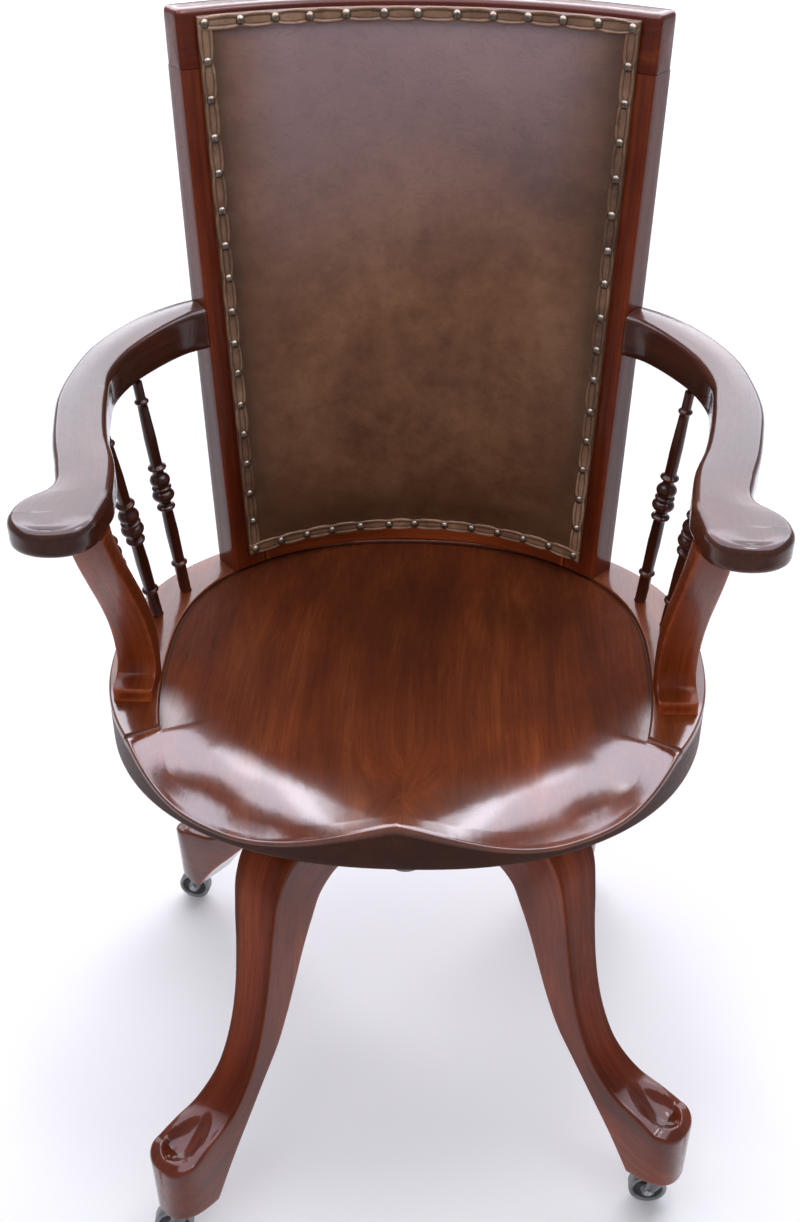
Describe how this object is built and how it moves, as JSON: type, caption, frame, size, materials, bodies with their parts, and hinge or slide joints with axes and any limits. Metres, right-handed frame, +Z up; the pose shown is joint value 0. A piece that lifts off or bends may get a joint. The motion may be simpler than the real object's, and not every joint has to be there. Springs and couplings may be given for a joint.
{
  "type": "swivel office chair",
  "caption": "Swivel desk chair: saddled wooden seat, curved leather back with a nailed border, bent arms on turned spindles, splayed base on castors.",
  "frame": {"origin": "on the floor, under the middle of the whole chair; the swivel axis is 30 mm in front of it", "axes": "+Z up, the sitter faces -Y, +X towards the sitter's left hand"},
  "size_m": [0.6138, 0.6345, 1.026],
  "materials": {
    "seat_mahogany": "French-polished mahogany, brown-orange, straight grain front to back",
    "mahogany": "French-polished mahogany, red-brown, dark along the edges",
    "turned_mahogany": "dark French-polished turned mahogany",
    "inner_wood": "unpolished carcase wood",
    "leather": "aged brown leather with soft sheen and mottling",
    "rear_leather": "aged brown leather",
    "gimp": "pinched leather gimp with antique brass nails",
    "iron": "dull grey cast iron",
    "steel": "worn steel",
    "castor_wheel": "worn grey metal castor wheel"
  },
  "bodies": {
    "base": {"hub": "mahogany", "hub_sleeve": "iron", "leg_front_right": "mahogany", "leg_rear_right": "mahogany", "leg_rear_left": "mahogany", "leg_front_left": "mahogany", "castor_plate_front_right": "iron", "castor_plate_rear_right": "iron", "castor_plate_rear_left": "iron", "castor_plate_front_left": "iron"},
    "carrier": {"thrust_collar": "steel"},
    "nut": {"height_nut": "iron"},
    "seat": {"seat_board": "seat_mahogany", "seat_plate": "iron", "lift_screw": "steel", "top_rail": "mahogany", "bottom_rail": "mahogany", "back_board": "inner_wood", "rear_cover": "rear_leather", "leather_pad": "leather", "gimp_band": "gimp", "stile_left": "mahogany", "arm_left": "mahogany", "arm_support_left": "mahogany", "spindle_rear_left": "turned_mahogany", "spindle_middle_left": "turned_mahogany", "spindle_front_left": "turned_mahogany", "stile_right": "mahogany", "arm_right": "mahogany", "arm_support_right": "mahogany", "spindle_rear_right": "turned_mahogany", "spindle_middle_right": "turned_mahogany", "spindle_front_right": "turned_mahogany"},
    "castor_front_right": {"castor_fork_front_right": "iron", "castor_axle_front_right": "steel"},
    "wheel_front_right": {"castor_wheel_front_right": "castor_wheel"},
    "castor_rear_right": {"castor_fork_rear_right": "iron", "castor_axle_rear_right": "steel"},
    "wheel_rear_right": {"castor_wheel_rear_right": "castor_wheel"},
    "castor_rear_left": {"castor_fork_rear_left": "iron", "castor_axle_rear_left": "steel"},
    "wheel_rear_left": {"castor_wheel_rear_left": "castor_wheel"},
    "castor_front_left": {"castor_fork_front_left": "iron", "castor_axle_front_left": "steel"},
    "wheel_front_left": {"castor_wheel_front_left": "castor_wheel"}
  },
  "joints": [
    {"name": "seat_swivel", "type": "hinge", "parent": "base", "child": "carrier", "pos_m": [0, -0.03, 0.405], "axis": [0, 0, 1], "continuous": true},
    {"name": "seat_height", "type": "slide", "parent": "carrier", "child": "seat", "axis": [0, 0, 1], "range_m": [0, 0.06]},
    {"name": "nut_turn", "type": "hinge", "parent": "carrier", "child": "nut", "pos_m": [0, -0.03, 0.417], "axis": [0, 0, 1], "range_deg": [-2161, 0]},
    {"name": "castor_swivel_front_right", "type": "hinge", "parent": "base", "child": "castor_front_right", "pos_m": [0.26012, -0.23469, 0.044], "axis": [0, 0, 1], "continuous": true},
    {"name": "wheel_roll_front_right", "type": "hinge", "parent": "castor_front_right", "child": "wheel_front_right", "pos_m": [0.25012, -0.23434, 0.01884], "axis": [-0.0349, -0.9994, 0], "continuous": true},
    {"name": "castor_swivel_rear_right", "type": "hinge", "parent": "base", "child": "castor_rear_right", "pos_m": [0.20469, 0.23012, 0.044], "axis": [0, 0, 1], "continuous": true},
    {"name": "wheel_roll_rear_right", "type": "hinge", "parent": "castor_rear_right", "child": "wheel_rear_right", "pos_m": [0.19484, 0.22838, 0.01884], "axis": [0.1736, -0.9848, 0], "continuous": true},
    {"name": "castor_swivel_rear_left", "type": "hinge", "parent": "base", "child": "castor_rear_left", "pos_m": [-0.26012, 0.17469, 0.044], "axis": [0, 0, 1], "continuous": true},
    {"name": "wheel_roll_rear_left", "type": "hinge", "parent": "castor_rear_left", "child": "wheel_rear_left", "pos_m": [-0.27002, 0.17608, 0.01884], "axis": [-0.1392, -0.9903, 0], "continuous": true},
    {"name": "castor_swivel_front_left", "type": "hinge", "parent": "base", "child": "castor_front_left", "pos_m": [-0.20469, -0.29012, 0.044], "axis": [0, 0, 1], "continuous": true},
    {"name": "wheel_roll_front_left", "type": "hinge", "parent": "castor_front_left", "child": "wheel_front_left", "pos_m": [-0.21466, -0.29099, 0.01884], "axis": [0.0872, -0.9962, 0], "continuous": true}
  ],
  "couplings": [
    {"joint": "nut_turn", "follows": "seat_height", "rad_per_m": -628.32}
  ]
}
